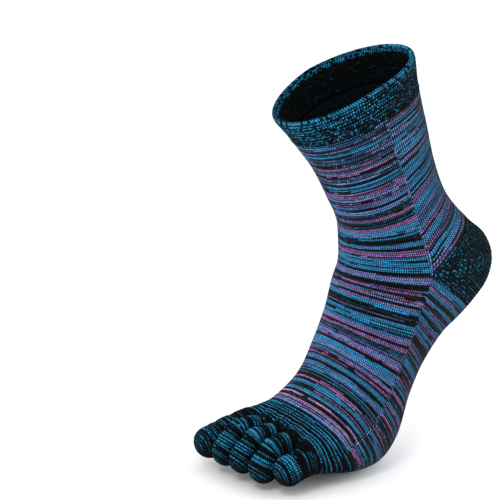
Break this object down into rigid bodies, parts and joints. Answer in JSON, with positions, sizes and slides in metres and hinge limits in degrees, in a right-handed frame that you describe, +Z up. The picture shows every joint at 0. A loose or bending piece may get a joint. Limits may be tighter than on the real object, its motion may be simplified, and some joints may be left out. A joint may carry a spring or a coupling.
{
  "type": "toe sock",
  "caption": "Left toe sock in its worn form on tiptoe: ridged cuff, striped leg and foot, heel pocket, forefoot and separate toe pockets, all hollow knit.",
  "frame": {"origin": "centre of the leg opening, inside the cuff's rim, where the leg holds the sock up", "axes": "+Z up, the toes point to -X, the heel to +X, the little toe lies on the -Y side and the big toe on the +Y side"},
  "size_m": [0.1978, 0.0904, 0.2661],
  "materials": {
    "cuff_knit": "doubled rib knit in near-black teal yarn with cyan flecks, matt",
    "striped_knit": "plain knit cotton in narrow space-dyed stripes of lavender, pink, blue, teal and navy, matt",
    "heel_knit": "plain knit in near-black teal with fine cyan flecks, matt",
    "toe_knit": "plain knit in near-black with cyan-blue bands, matt"
  },
  "bodies": {
    "root": {"cuff": "cuff_knit", "leg_and_foot": "striped_knit", "heel_pocket": "heel_knit", "forefoot": "toe_knit", "toe_1_big": "toe_knit", "toe_2_long": "toe_knit", "toe_3_middle": "toe_knit", "toe_4_ring": "toe_knit", "toe_5_little": "toe_knit"}
  },
  "joints": []
}
